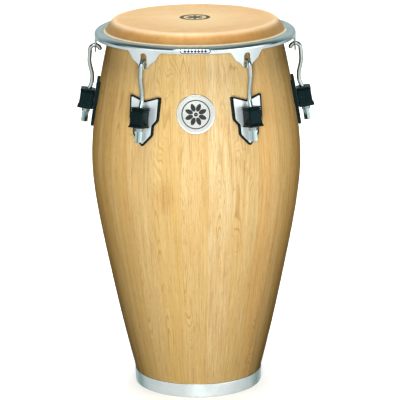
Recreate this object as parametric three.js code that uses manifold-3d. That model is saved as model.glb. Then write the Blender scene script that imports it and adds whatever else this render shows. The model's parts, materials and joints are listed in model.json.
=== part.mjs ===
// A single-headed stave drum of the tumba kind, 711 mm tall, with six hook-and-nut tuning lugs.
// Units are millimetres, +Z is up, the badge faces -Y and the drum stands on z = 0.
// A lug is made once at the front of the drum and then turned about Z to its six places.
import * as THREE from "three";
import { mergeVertices } from "three/addons/utils/BufferGeometryUtils.js";
import Module from "manifold-3d";

// Whole drum
const HEIGHT = 711.2;
const ROUND = 48;
const GAP = 0.3;

// Stave shell: outside radius at each height, wall and the rebate for the bottom ring
const SHELL_OUTSIDE = [
  [121.4, 27.2],
  [141.6, 110],
  [167.2, 230],
  [188.0, 340],
  [196.2, 400],
  [198.6, 445],
  [196.6, 490],
  [187.0, 560],
  [172.0, 640],
  [160.2, 693],
];
const SHELL_LEVELS = 14;
const WALL = 12;
const REBATE_TOP = 26.9;
const REBATE_RADIUS = 120;

// Bottom ring
const RING_HEIGHT = 26.6;
const RING_THICK = 2.1;
const RING_FLANGE_INNER = 110.5;

// Head
const SKIN = 2.2;
const HEAD_FLAT_RADIUS = 150.5;
const HEAD_SHOULDER = 8.7;
const COLLAR_BOTTOM = 682;
const COLLAR_RADIUS = 169.2;

// Flesh hoop and rim
const HOOP_INNER = 169.6;
const HOOP_OUTER = 180;
const HOOP_BOTTOM = 677.6;
const HOOP_TOP = 687.2;
const RIM_INNER = 171.6;
const RIM_OUTER = 189.8;
const RIM_BAND = 2.6;
const RIM_LOW = 678.5;
const RIM_TOP = 691.6;
const EAR_HOLE_WIDTH = 12.4;
const EAR_HOLE_BOTTOM = 656.7;
const EAR_HOLE_TOP = 676.5;
const EAR_HALF_OUTLINE = [
  [34, 684],
  [33, 677.5],
  [28.7, 671.5],
  [25, 666],
  [20, 661],
  [13.5, 657],
  [9.5, 651.5],
  [5, 648],
  [0, 647.4],
];

// Tuning lugs: six of them, the plate plane leans in by LUG_LEAN towards the head
const LUG_ANGLES = [30, 90, 150, 210, 270, 330];
const LUG_LEAN = 9;
const LUG_RADIUS = 192.2;
const LUG_HEIGHT = 560;
const PLATE_THICK = 2.5;
const PLATE_HALF_OUTLINE = [
  [0, 25.5],
  [28.5, 35],
  [27, -5],
  [17.5, -15.5],
  [17.5, -33],
  [0, -52],
];
const GASKET_HALF_OUTLINE = [
  [0, 28.4],
  [31.4, 38.2],
  [30, -6.1],
  [20.5, -16.6],
  [20.5, -34.2],
  [0, -56.4],
];
const GASKET_FACE = -1.2;
const AXIS_OFF = 13;
const RECEIVER_RADIUS = 7.5;
const RECEIVER_BORE = 5;
const RECEIVER_TOP = 13.5;
const RECEIVER_BOTTOM = -21.6;
const WEB_WIDTH = 8;

// Rubber sleeve on the receiver: [bottom, top, width, inner face, outer face] of each slab
const SLEEVE_SLABS = [
  [-20.1, -17, 29.6, 1.4, 30],
  [-17.2, 11, 26, 1.6, 27.6],
  [10.8, 12.4, 23.6, 2.2, 26.2],
  [12.2, 13.8, 29.4, 1.6, 27.4],
  [13.6, 15, 23.6, 2.2, 26.2],
  [14.8, 16.8, 29, 1.6, 27],
];
const SLEEVE_CORNER = 3;

// Hook, washer and nut
const ROD_RADIUS = 4;
const HOOK_CENTRE = [188.9, 652];
const HOOK_BEND = 9.6;
const HOOK_SWEEP = 165;
const HOOK_STEPS = 8;
const ROD_SWAY = [
  [199.5, 641],
  [199.9, 630],
  [198.2, 619],
  [195.9, 609.5],
  [195.2, 600],
  [196.4, 591],
  [199, 583.5],
  [201.9, 577.5],
];
const ROD_STRAIGHT_TOP = 11.7;
const ROD_END = -42;
const WASHER_TOP = -21.9;
const WASHER_THICK = 1.9;
const WASHER_RADIUS = 8.5;
const NUT_TOP = -24.1;
const NUT_FLANGE = 3;
const NUT_FLANGE_RADIUS = 8;
const NUT_BOTTOM = -47.6;
const NUT_FLATS = 13;
const NUT_BORE = 4.6;

// Side-plate screws, put in from inside the shell
const SCREW_LEVELS = { upper: 8, lower: -36 };
const SCREW_RADIUS = 2.5;
const SCREW_TIP = -1.2;
const SCREW_SEAT = -18.8;
const SCREW_HEAD = 3;
const SCREW_HEAD_RADIUS = 5.5;
const SCREW_HOLE = 2.8;
const BOSS_RADIUS = 5.5;
const BOSS_BACK = -4.6;

// Badge
const BADGE_RADIUS = 36;
const BADGE_HEIGHT = 567;
const BADGE_THICK = 1.5;

const wasm = await Module();
wasm.setup();

const finish = (color, roughness, metalness) =>
  new THREE.MeshStandardMaterial({ color, roughness, metalness });
const WOOD = finish(0xd8ab62, 0.3, 0);
const HIDE = finish(0xe2bd8a, 0.6, 0);
const CHROME = finish(0xdfe4e6, 0.12, 1);
const ZINC = finish(0xb9bdbe, 0.35, 1);
const RUBBER = finish(0x16191a, 0.6, 0);
const ALUMINIUM = finish(0xd6d8da, 0.35, 1);

const radians = THREE.MathUtils.degToRad;

function toSolid(geometry) {
  const bare = geometry.clone();
  bare.deleteAttribute("normal");
  bare.deleteAttribute("uv");
  const merged = mergeVertices(bare, 1e-4);
  return new wasm.Manifold(
    new wasm.Mesh({
      numProp: 3,
      vertProperties: new Float32Array(merged.attributes.position.array),
      triVerts: new Uint32Array(merged.index.array),
    }),
  );
}

function toGeometry(solid) {
  const mesh = solid.getMesh();
  const geometry = new THREE.BufferGeometry();
  geometry.setAttribute("position", new THREE.BufferAttribute(mesh.vertProperties, 3));
  geometry.setIndex(new THREE.BufferAttribute(mesh.triVerts, 1));
  return geometry;
}

// A closed section of [radius, height] points, listed with the outside going up, turned about Z.
function turned(section, segments = ROUND) {
  const points = section.map(([radius, height]) => new THREE.Vector2(radius, height));
  points.push(points[0].clone());
  return new THREE.LatheGeometry(points, segments).rotateX(Math.PI / 2);
}

// A full round between two heights.
function rod(radius, bottom, top, segments = 10) {
  const geometry = new THREE.CylinderGeometry(radius, radius, top - bottom, segments);
  return geometry.rotateX(Math.PI / 2).translate(0, 0, (top + bottom) / 2);
}

// A full round that points out of the lug plane, between two distances from it.
function pin(radius, inner, outer, level, segments = 8) {
  const geometry = new THREE.CylinderGeometry(radius, radius, outer - inner, segments);
  return geometry.translate(0, -(inner + outer) / 2, level);
}

function block(width, inner, outer, bottom, top) {
  const geometry = new THREE.BoxGeometry(width, outer - inner, top - bottom);
  return geometry.translate(0, -(inner + outer) / 2, (top + bottom) / 2);
}

function mirrored(half) {
  const other = half.filter(([across]) => across > 0).map(([across, up]) => [-across, up]);
  return [...half, ...other.reverse()];
}

// The outline with each corner eased by up to `ease` along both of its edges.
function easedShape(outline, ease) {
  const corners = outline.map(([x, y]) => new THREE.Vector2(x, y));
  const shape = new THREE.Shape();
  corners.forEach((corner, i) => {
    const before = corners[(i + corners.length - 1) % corners.length];
    const after = corners[(i + 1) % corners.length];
    const start = corner.clone().lerp(before, ease / corner.distanceTo(before));
    const end = corner.clone().lerp(after, ease / corner.distanceTo(after));
    if (i === 0) {
      shape.moveTo(start.x, start.y);
    } else {
      shape.lineTo(start.x, start.y);
    }
    shape.quadraticCurveTo(corner.x, corner.y, end.x, end.y);
  });
  shape.closePath();
  return shape;
}

// A shape drawn as (across, up) made into a plate between two distances out of its plane.
function plate(shape, inner, outer, curveSegments = 1) {
  const depth = outer - inner;
  const geometry = new THREE.ExtrudeGeometry(shape, { depth, bevelEnabled: false, curveSegments });
  return geometry.rotateX(Math.PI / 2).translate(0, -inner, 0);
}

// ---- Shell -------------------------------------------------------------------------------

const outsideCurve = new THREE.SplineCurve(
  SHELL_OUTSIDE.map(([radius, height]) => new THREE.Vector2(radius, height)),
);
const outside = outsideCurve.getSpacedPoints(SHELL_LEVELS);

function outsideRadius(height) {
  const above = outside.findIndex((point, i) => i > 0 && point.y >= height);
  const low = outside[above - 1];
  const high = outside[above];
  return THREE.MathUtils.mapLinear(height, low.y, high.y, low.x, high.x);
}

// The space inside the shell's outer face, let out by `extra`.
function shellEnvelope(extra) {
  const face = outside.map((point) => [point.x + extra, point.y]);
  return toSolid(turned([[0, outside[0].y], ...face, [0, outside.at(-1).y]]));
}

function shellSection() {
  const bottom = 1.8 + GAP;
  const arcCentre = [HEAD_FLAT_RADIUS, HEIGHT - HEAD_SHOULDER - 0.2];
  const arcRadius = HEAD_SHOULDER - SKIN - GAP;
  const section = [
    [REBATE_RADIUS - 0.9, bottom],
    [REBATE_RADIUS, REBATE_TOP],
    ...outside.map((point) => [point.x, point.y]),
  ];
  for (const degrees of [0, 30, 60, 90]) {
    const turn = radians(degrees);
    section.push([
      arcCentre[0] + arcRadius * Math.cos(turn),
      arcCentre[1] + arcRadius * Math.sin(turn),
    ]);
  }
  const top = arcCentre[1] + arcRadius;
  section.push([147.4, top]);
  section.push([145.6, top - 2.5]);
  for (const height of [640, 560, 490, 445, 400, 320, 170]) {
    section.push([outsideRadius(height) - WALL, height]);
  }
  section.push([REBATE_RADIUS - WALL, bottom + 0.8]);
  section.push([REBATE_RADIUS - WALL + 0.8, bottom]);
  return section;
}

// ---- Lug frame: x across, -y out of the drum, z up the leaning plate -----------------------

const lugMatrix = new THREE.Matrix4()
  .makeTranslation(0, -LUG_RADIUS, LUG_HEIGHT)
  .multiply(new THREE.Matrix4().makeRotationX(radians(-LUG_LEAN)));

const placed = (geometry) => geometry.applyMatrix4(lugMatrix);

// The point on the rod's axis at a level up the lug, as [radius, height] of the drum.
function axisPoint(level) {
  const lean = radians(LUG_LEAN);
  return [
    LUG_RADIUS + AXIS_OFF * Math.cos(lean) - level * Math.sin(lean),
    LUG_HEIGHT + AXIS_OFF * Math.sin(lean) + level * Math.cos(lean),
  ];
}

const onAxis = (geometry) => geometry.translate(0, -AXIS_OFF, 0);

function shellGeometry() {
  let solid = toSolid(turned(shellSection()));
  for (const angle of LUG_ANGLES) {
    for (const level of Object.values(SCREW_LEVELS)) {
      const hole = placed(pin(SCREW_HOLE, -30, 2, level)).rotateZ(radians(angle));
      solid = solid.subtract(toSolid(hole));
    }
  }
  return toGeometry(solid);
}

// ---- Rings ---------------------------------------------------------------------------------

function bottomRingGeometry() {
  const inner = REBATE_RADIUS + 0.4;
  return turned([
    [RING_FLANGE_INNER, 0],
    [inner + 0.2, 0],
    [inner + 1.2, 1],
    [inner + RING_THICK, RING_HEIGHT - 0.6],
    [inner + RING_THICK - 0.6, RING_HEIGHT],
    [inner, RING_HEIGHT],
    [inner - 0.9, 1.8],
    [RING_FLANGE_INNER, 1.8],
  ]);
}

function headSkinGeometry() {
  const centre = HEIGHT - HEAD_SHOULDER;
  const section = [
    [COLLAR_RADIUS - SKIN, COLLAR_BOTTOM],
    [COLLAR_RADIUS, COLLAR_BOTTOM],
    [COLLAR_RADIUS - 0.1, 688],
    [168.6, 691],
    [166.8, 693.2],
    [163.5, 696],
    [160.4, 699.8],
  ];
  for (const degrees of [0, 30, 60, 90]) {
    const turn = radians(degrees);
    section.push([
      HEAD_FLAT_RADIUS + HEAD_SHOULDER * Math.cos(turn),
      centre + HEAD_SHOULDER * Math.sin(turn),
    ]);
  }
  section.push([0, HEIGHT]);
  section.push([0, HEIGHT - SKIN]);
  for (const degrees of [90, 60, 30, 0]) {
    const turn = radians(degrees);
    section.push([
      HEAD_FLAT_RADIUS + (HEAD_SHOULDER - SKIN) * Math.cos(turn),
      centre + (HEAD_SHOULDER - SKIN) * Math.sin(turn),
    ]);
  }
  section.push([158.8, 698.6]);
  section.push([162, 694.6]);
  section.push([165, 691.4]);
  section.push([COLLAR_RADIUS - SKIN - 0.2, 688]);
  return turned(section);
}

function fleshHoopGeometry() {
  const ease = 2.5;
  return turned([
    [HOOP_INNER + ease, HOOP_BOTTOM],
    [HOOP_OUTER - ease, HOOP_BOTTOM],
    [HOOP_OUTER, HOOP_BOTTOM + ease],
    [HOOP_OUTER, HOOP_TOP - ease],
    [HOOP_OUTER - ease, HOOP_TOP],
    [HOOP_INNER + ease, HOOP_TOP],
    [HOOP_INNER, HOOP_TOP - ease],
    [HOOP_INNER, HOOP_BOTTOM + ease],
  ]);
}

function rimGeometry() {
  const wall = RIM_OUTER - RIM_BAND;
  const under = HOOP_TOP + 0.4;
  let solid = toSolid(
    turned([
      [wall, RIM_LOW],
      [RIM_OUTER, RIM_LOW],
      [RIM_OUTER, 684.5],
      [RIM_OUTER - 0.7, 687.6],
      [RIM_OUTER - 2.6, 690.2],
      [RIM_OUTER - 5.8, 691.4],
      [RIM_OUTER - 11.8, RIM_TOP],
      [RIM_INNER + 1.4, RIM_TOP - 0.4],
      [RIM_INNER, RIM_TOP - 1.4],
      [RIM_INNER, under],
      [wall - 2.6, under],
      [wall - 0.6, 686.2],
      [wall, 684],
    ]),
  );
  const band = toSolid(
    turned([
      [wall, 640],
      [RIM_OUTER, 640],
      [RIM_OUTER, 683.6],
      [wall, 683.6],
    ]),
  );
  const ear = new THREE.Shape(
    mirrored(EAR_HALF_OUTLINE).map(([across, up]) => new THREE.Vector2(across, up)),
  );
  const half = EAR_HOLE_WIDTH / 2;
  const hole = new THREE.Path();
  hole.moveTo(-half, EAR_HOLE_BOTTOM + 2);
  hole.quadraticCurveTo(-half, EAR_HOLE_BOTTOM, -half + 2, EAR_HOLE_BOTTOM);
  hole.lineTo(half - 2, EAR_HOLE_BOTTOM);
  hole.quadraticCurveTo(half, EAR_HOLE_BOTTOM, half, EAR_HOLE_BOTTOM + 2);
  hole.lineTo(half, EAR_HOLE_TOP - half);
  hole.absarc(0, EAR_HOLE_TOP - half, half, 0, Math.PI, false);
  hole.closePath();
  ear.holes.push(hole);
  for (const angle of LUG_ANGLES) {
    const prism = plate(ear, 150, 210, 3).rotateZ(radians(angle));
    solid = solid.add(band.intersect(toSolid(prism)));
  }
  return toGeometry(solid);
}

function badgeGeometry() {
  const disc = new THREE.CylinderGeometry(BADGE_RADIUS, BADGE_RADIUS, 60, 32);
  disc.translate(0, -190, BADGE_HEIGHT);
  const skin = shellEnvelope(GAP + BADGE_THICK).subtract(shellEnvelope(GAP));
  return toGeometry(toSolid(disc).intersect(skin));
}

// ---- Lug parts -----------------------------------------------------------------------------

function sidePlateGeometry() {
  const shape = easedShape(mirrored(PLATE_HALF_OUTLINE), 3);
  let solid = toSolid(plate(shape, -PLATE_THICK, 0));
  const tube = onAxis(rod(RECEIVER_RADIUS, RECEIVER_BOTTOM, RECEIVER_TOP, 12));
  const web = block(WEB_WIDTH, -0.5, AXIS_OFF, RECEIVER_BOTTOM + 1.5, RECEIVER_TOP - 1);
  solid = solid.add(toSolid(tube)).add(toSolid(web));
  for (const level of Object.values(SCREW_LEVELS)) {
    solid = solid.add(toSolid(pin(BOSS_RADIUS, BOSS_BACK, -1, level)));
    solid = solid.subtract(toSolid(pin(SCREW_RADIUS + 0.4, -10, SCREW_TIP + 0.4, level)));
  }
  const bore = onAxis(rod(RECEIVER_BORE, RECEIVER_BOTTOM - 1, RECEIVER_TOP + 1));
  return placed(toGeometry(solid.subtract(toSolid(bore))));
}

function gasketGeometry() {
  const outer = easedShape(mirrored(GASKET_HALF_OUTLINE), 4);
  const seat = mirrored(PLATE_HALF_OUTLINE).map(([across, up]) => [across * 1.015, up * 1.012]);
  let solid = toSolid(plate(outer, -14, GASKET_FACE));
  solid = solid.subtract(toSolid(plate(easedShape(seat, 2.6), -PLATE_THICK - GAP, 2)));
  for (const level of Object.values(SCREW_LEVELS)) {
    solid = solid.subtract(toSolid(pin(BOSS_RADIUS + 0.4, -20, 0, level)));
  }
  const leaned = toSolid(placed(toGeometry(solid)));
  return toGeometry(leaned.subtract(shellEnvelope(GAP)));
}

function sleeveGeometry() {
  let solid = null;
  for (const [bottom, top, width, inner, outer] of SLEEVE_SLABS) {
    const middle = (inner + outer) / 2;
    const half = width / 2;
    const deep = (outer - inner) / 2;
    const shape = easedShape(
      [
        [half, -middle - deep],
        [half, -middle + deep],
        [-half, -middle + deep],
        [-half, -middle - deep],
      ],
      SLEEVE_CORNER,
    );
    const depth = top - bottom;
    const slab = new THREE.ExtrudeGeometry(shape, { depth, bevelEnabled: false, curveSegments: 1 });
    const piece = toSolid(slab.translate(0, 0, bottom));
    solid = solid ? solid.add(piece) : piece;
  }
  const roomy = RECEIVER_RADIUS + 0.4;
  const pocket = onAxis(rod(roomy, RECEIVER_BOTTOM - 1, RECEIVER_TOP + 0.4, 12));
  const slot = block(WEB_WIDTH + 0.8, 0, AXIS_OFF, RECEIVER_BOTTOM - 1, RECEIVER_TOP);
  const mouth = onAxis(rod(5.6, RECEIVER_TOP, 20));
  for (const hollow of [pocket, slot, mouth]) {
    solid = solid.subtract(toSolid(hollow));
  }
  return placed(toGeometry(solid));
}

function washerGeometry() {
  const geometry = turned(
    [
      [RECEIVER_BORE - 0.3, WASHER_TOP - WASHER_THICK],
      [WASHER_RADIUS, WASHER_TOP - WASHER_THICK],
      [WASHER_RADIUS, WASHER_TOP],
      [RECEIVER_BORE - 0.3, WASHER_TOP],
    ],
    12,
  );
  return placed(onAxis(geometry));
}

function nutGeometry() {
  const flange = toSolid(
    turned(
      [
        [0, NUT_TOP - NUT_FLANGE - 1.2],
        [NUT_FLATS / 2, NUT_TOP - NUT_FLANGE - 1.2],
        [NUT_FLANGE_RADIUS, NUT_TOP - NUT_FLANGE + 0.6],
        [NUT_FLANGE_RADIUS, NUT_TOP],
        [0, NUT_TOP],
      ],
      12,
    ),
  );
  const corner = NUT_FLATS / 2 / Math.cos(Math.PI / 6);
  const hex = toSolid(rod(corner, NUT_BOTTOM, NUT_TOP - 1, 6));
  const round = toSolid(
    turned(
      [
        [0, NUT_BOTTOM - 0.5],
        [NUT_FLATS / 2 - 0.9, NUT_BOTTOM],
        [corner + 0.1, NUT_BOTTOM + 2.4],
        [corner + 0.1, NUT_TOP],
        [0, NUT_TOP],
      ],
      12,
    ),
  );
  const bore = toSolid(rod(NUT_BORE, NUT_BOTTOM - 2, NUT_TOP + 1));
  const solid = hex.intersect(round).add(flange).subtract(bore);
  return placed(onAxis(toGeometry(solid)));
}

function screwGeometry(level) {
  const section = [
    [0, -SCREW_TIP],
    [SCREW_RADIUS, -SCREW_TIP],
    [SCREW_RADIUS, -SCREW_SEAT],
    [SCREW_HEAD_RADIUS, -SCREW_SEAT],
    [SCREW_HEAD_RADIUS - 1.6, -SCREW_SEAT + SCREW_HEAD * 0.8],
    [0, -SCREW_SEAT + SCREW_HEAD],
    [0, -SCREW_TIP],
  ];
  const points = section.map(([radius, along]) => new THREE.Vector2(radius, along));
  return placed(new THREE.LatheGeometry(points, 8).translate(0, 0, level));
}

// The rod's centre line, sampled at its own listed points so that the bend stays round.
class RodLine extends THREE.Curve {
  constructor(points) {
    super();
    this.points = points;
  }

  getPoint(t) {
    const last = this.points.length - 1;
    const at = Math.min(Math.floor(t * last), last - 1);
    return this.points[at].clone().lerp(this.points[at + 1], t * last - at);
  }

  getUtoTmapping(u) {
    return u;
  }
}

function hookGeometry() {
  const line = [];
  for (let step = 0; step <= HOOK_STEPS; step += 1) {
    const turn = radians(HOOK_SWEEP * (1 - step / HOOK_STEPS));
    line.push([
      HOOK_CENTRE[0] + HOOK_BEND * Math.cos(turn),
      HOOK_CENTRE[1] + HOOK_BEND * Math.sin(turn),
    ]);
  }
  line.push(...ROD_SWAY);
  line.push(axisPoint(ROD_STRAIGHT_TOP));
  line.push(axisPoint(0));
  line.push(axisPoint(ROD_END));
  const points = line.map(([radius, height]) => new THREE.Vector3(0, -radius, height));
  const round = new THREE.Shape().absarc(0, 0, ROD_RADIUS, 0, 2 * Math.PI, false);
  return new THREE.ExtrudeGeometry(round, {
    extrudePath: new RodLine(points),
    steps: points.length - 1,
    curveSegments: 4,
    bevelEnabled: false,
  });
}

// ---- Assembly ------------------------------------------------------------------------------

const drum = new THREE.Group();
drum.name = "conga";

function add(name, geometry, material) {
  geometry.computeVertexNormals();
  const mesh = new THREE.Mesh(geometry, material);
  mesh.name = name;
  drum.add(mesh);
}

add("shell", shellGeometry(), WOOD);
add("bottom_ring", bottomRingGeometry(), CHROME);
add("head_skin", headSkinGeometry(), HIDE);
add("flesh_hoop", fleshHoopGeometry(), HIDE);
add("rim", rimGeometry(), CHROME);
add("badge", badgeGeometry(), ALUMINIUM);

const lugParts = [
  ["side_plate", sidePlateGeometry(), CHROME],
  ["plate_gasket", gasketGeometry(), RUBBER],
  ["lug_sleeve", sleeveGeometry(), RUBBER],
  ["tuning_hook", hookGeometry(), CHROME],
  ["nut_washer", washerGeometry(), ZINC],
  ["tuning_nut", nutGeometry(), CHROME],
  ["plate_screw_upper", screwGeometry(SCREW_LEVELS.upper), ZINC],
  ["plate_screw_lower", screwGeometry(SCREW_LEVELS.lower), ZINC],
];

LUG_ANGLES.forEach((angle, i) => {
  for (const [name, geometry, material] of lugParts) {
    add(`${name}_${i + 1}`, geometry.clone().rotateZ(radians(angle)), material);
  }
});

export default drum;
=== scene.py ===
"""Looks of the conga drum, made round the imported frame.

Shapes are written in millimetres, and build() makes metres of them. Everything else is in metres."""

import json
import math

import bmesh
import bpy
import numpy as np
from mathutils import Matrix, Vector

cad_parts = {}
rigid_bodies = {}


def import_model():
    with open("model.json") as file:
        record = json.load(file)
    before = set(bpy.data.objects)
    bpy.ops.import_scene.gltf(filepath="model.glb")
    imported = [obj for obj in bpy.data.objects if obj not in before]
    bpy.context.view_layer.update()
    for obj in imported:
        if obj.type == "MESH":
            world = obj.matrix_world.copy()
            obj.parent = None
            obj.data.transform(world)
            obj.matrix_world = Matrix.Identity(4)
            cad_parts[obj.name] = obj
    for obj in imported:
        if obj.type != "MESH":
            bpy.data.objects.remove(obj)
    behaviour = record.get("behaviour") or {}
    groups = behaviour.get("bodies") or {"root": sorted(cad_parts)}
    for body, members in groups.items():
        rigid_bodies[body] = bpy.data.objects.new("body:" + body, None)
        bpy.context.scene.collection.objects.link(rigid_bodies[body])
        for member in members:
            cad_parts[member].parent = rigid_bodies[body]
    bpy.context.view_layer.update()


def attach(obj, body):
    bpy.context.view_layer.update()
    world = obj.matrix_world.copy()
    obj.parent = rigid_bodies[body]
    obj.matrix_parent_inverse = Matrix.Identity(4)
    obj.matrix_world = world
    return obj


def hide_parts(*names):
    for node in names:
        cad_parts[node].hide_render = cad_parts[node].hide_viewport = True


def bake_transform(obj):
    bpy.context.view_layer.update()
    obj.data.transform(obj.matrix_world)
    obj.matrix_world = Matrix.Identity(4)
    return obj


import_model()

MM = 0.001
ROUND_STEPS = 192
LUG_ANGLES = (30, 90, 150, 210, 270, 330)

# Shell: (height, outside radius), the wall and the stave joints
SHELL_OUTSIDE = (
    (27.2, 121.4),
    (110, 141.6),
    (230, 167.2),
    (340, 188.0),
    (400, 196.2),
    (445, 198.6),
    (490, 196.6),
    (560, 187.0),
    (640, 172.0),
    (693, 160.2),
)
WALL = 12
STAVES = 24
STAVE_PHASE = 6.3
JOINT_DEPTH = 0.07

# For the materials, in metres: the knot in the wood, and how far behind the head's middle
# the print sits
KNOT_ANGLE = math.radians(-15.5)
KNOT_HEIGHT = 0.412
PRINT_OFF = 0.008

# Lug frame: the plate's lean, its middle on the drum, and the rod's axis in front of it
LUG_LEAN = math.radians(9)
LUG_RADIUS = 192.2
LUG_HEIGHT = 560
AXIS_OFF = 13


# ---- Curves and outlines ---------------------------------------------------------------


def cubic_spline(points):
    """A natural cubic through (x, y) points, as a function of x."""
    xs, ys = np.array(points, float).T
    gap = np.diff(xs)
    size = len(xs)
    system = np.eye(size)
    right = np.zeros(size)
    for i in range(1, size - 1):
        system[i, i - 1] = gap[i - 1]
        system[i, i] = 2 * (gap[i - 1] + gap[i])
        system[i, i + 1] = gap[i]
        right[i] = 6 * ((ys[i + 1] - ys[i]) / gap[i] - (ys[i] - ys[i - 1]) / gap[i - 1])
    bend = np.linalg.solve(system, right)

    def at(x):
        i = int(np.clip(np.searchsorted(xs, x) - 1, 0, size - 2))
        low, high, h = x - xs[i], xs[i + 1] - x, gap[i]
        return float(
            (bend[i] * high**3 + bend[i + 1] * low**3) / (6 * h)
            + (ys[i] / h - bend[i] * h / 6) * high
            + (ys[i + 1] / h - bend[i + 1] * h / 6) * low
        )

    return at


shell_radius = cubic_spline(SHELL_OUTSIDE)


def arc(centre, radius, start, end, steps):
    """Points of an arc in a section, angles in degrees."""
    turns = np.radians(np.linspace(start, end, steps + 1))
    return [(centre[0] + radius * math.cos(t), centre[1] + radius * math.sin(t)) for t in turns]


def catmull(points, steps):
    """A smooth line through the points, with `steps` samples on each stretch."""
    pts = [Vector(p) for p in points]
    pts = [2 * pts[0] - pts[1], *pts, 2 * pts[-1] - pts[-2]]
    out = []
    for a, b, c, d in zip(pts, pts[1:], pts[2:], pts[3:]):
        for i in range(steps):
            t = i / steps
            spot = 2 * b + (c - a) * t + (2 * a - 5 * b + 4 * c - d) * t**2
            spot += (3 * b - a - 3 * c + d) * t**3
            out.append(0.5 * spot)
    return [*out, pts[-2]]


def mirrored(half):
    """A half outline with x above 0, and its mirror image."""
    return [*half, *[(-x, y) for x, y in reversed(half) if x > 0]]


def eased(outline, ease, steps=6):
    """The outline with every corner rounded by up to `ease` along its edges."""
    corners = [Vector(p) for p in outline]
    out = []
    for i, corner in enumerate(corners):
        before, after = corners[i - 1], corners[(i + 1) % len(corners)]
        start = corner.lerp(before, ease / (corner - before).length)
        end = corner.lerp(after, ease / (corner - after).length)
        for k in range(steps + 1):
            t = k / steps
            out.append(start * (1 - t) ** 2 + corner * 2 * t * (1 - t) + end * t**2)
    return out


def inset(outline, distance):
    """The outline moved in by a distance, for a clockwise or anticlockwise loop."""
    size = len(outline)
    turn = sum(a.x * b.y - b.x * a.y for a, b in zip(outline, outline[1:] + outline[:1]))
    side = 1 if turn > 0 else -1
    out = []
    for i, point in enumerate(outline):
        along = (outline[(i + 1) % size] - outline[i - 1]).normalized()
        out.append(point + Vector((-along.y, along.x)) * distance * side)
    return out


# ---- Meshes ----------------------------------------------------------------------------


def build(name, verts, faces, materials, sharp=35, weighted=False, tags=None):
    """A linked mesh object from points in millimetres."""
    mesh = bpy.data.meshes.new(name)
    mesh.from_pydata([tuple(c * MM for c in v) for v in verts], [], faces)
    for material in materials:
        mesh.materials.append(material)
    if tags:
        mesh.polygons.foreach_set("material_index", tags)
    work = bmesh.new()
    work.from_mesh(mesh)
    bmesh.ops.recalc_face_normals(work, faces=work.faces)
    work.to_mesh(mesh)
    work.free()
    mesh.shade_smooth()
    mesh.set_sharp_from_angle(angle=math.radians(sharp))
    obj = bpy.data.objects.new(name, mesh)
    bpy.context.scene.collection.objects.link(obj)
    if weighted:
        modifier = obj.modifiers.new("even_faces", "WEIGHTED_NORMAL")
        modifier.keep_sharp = True
    return obj


def bridge(rings, closed, offset=0):
    """Quads between rings of equal length; closed joins the last ring to the first."""
    size = len(rings[0])
    faces = []
    count = len(rings) if closed else len(rings) - 1
    for i in range(count):
        low, high = offset + i * size, offset + ((i + 1) % len(rings)) * size
        for k in range(size):
            n = (k + 1) % size
            faces.append((low + k, low + n, high + n, high + k))
    return faces


def ring_points(radius, height, angles):
    return [(radius * math.sin(a), -radius * math.cos(a), height) for a in angles]


def turn_angles(count):
    return [2 * math.pi * k / count for k in range(count)]


def flat(rings):
    return [p for ring in rings for p in ring]


def end_caps(rings):
    """One face over the first ring and one over the last."""
    size = len(rings[0])
    last = size * (len(rings) - 1)
    return [tuple(range(size)), tuple(range(last, last + size))]


def lathe(name, section, materials):
    """A closed (radius, height) section turned about Z."""
    angles = turn_angles(ROUND_STEPS)
    rings = [ring_points(r, z, angles) for r, z in section]
    return build(name, flat(rings), bridge(rings, True), materials)


def lug_point(across, out, up):
    """A point of the lug frame at the front of the drum: across, out of it, up the plate."""
    radius = LUG_RADIUS + out * math.cos(LUG_LEAN) - up * math.sin(LUG_LEAN)
    return (across, -radius, LUG_HEIGHT + out * math.sin(LUG_LEAN) + up * math.cos(LUG_LEAN))


def axis_point(up):
    """(radius, height) on the rod's axis."""
    _, y, z = lug_point(0, AXIS_OFF, up)
    return (-y, z)


def lug_rings(sections, segments=48, shape=None):
    """Rings round the rod's axis for (radius, level) pairs; shape may change the radius by angle."""
    rings = []
    for radius, level in sections:
        ring = []
        for a in turn_angles(segments):
            r = shape(radius, a) if shape else radius
            ring.append(lug_point(r * math.sin(a), AXIS_OFF - r * math.cos(a), level))
        rings.append(ring)
    return rings


def six(first, body, nodes, number_body=False):
    """Six copies of the piece made at the front, one on each lug."""
    base = first.name
    for i, angle in enumerate(LUG_ANGLES, 1):
        obj = first if i == 1 else first.copy()
        if i > 1:
            bpy.context.scene.collection.objects.link(obj)
        obj.name = f"{base}_{i}"
        obj.rotation_euler.z = math.radians(angle)
    bpy.context.view_layer.update()
    for i in range(1, 7):
        obj = bpy.data.objects[f"{base}_{i}"]
        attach(obj, f"{body}_{i}" if number_body else body)
        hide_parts(*[f"{node}_{i}" for node in nodes])


# ---- Materials -------------------------------------------------------------------------


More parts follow.
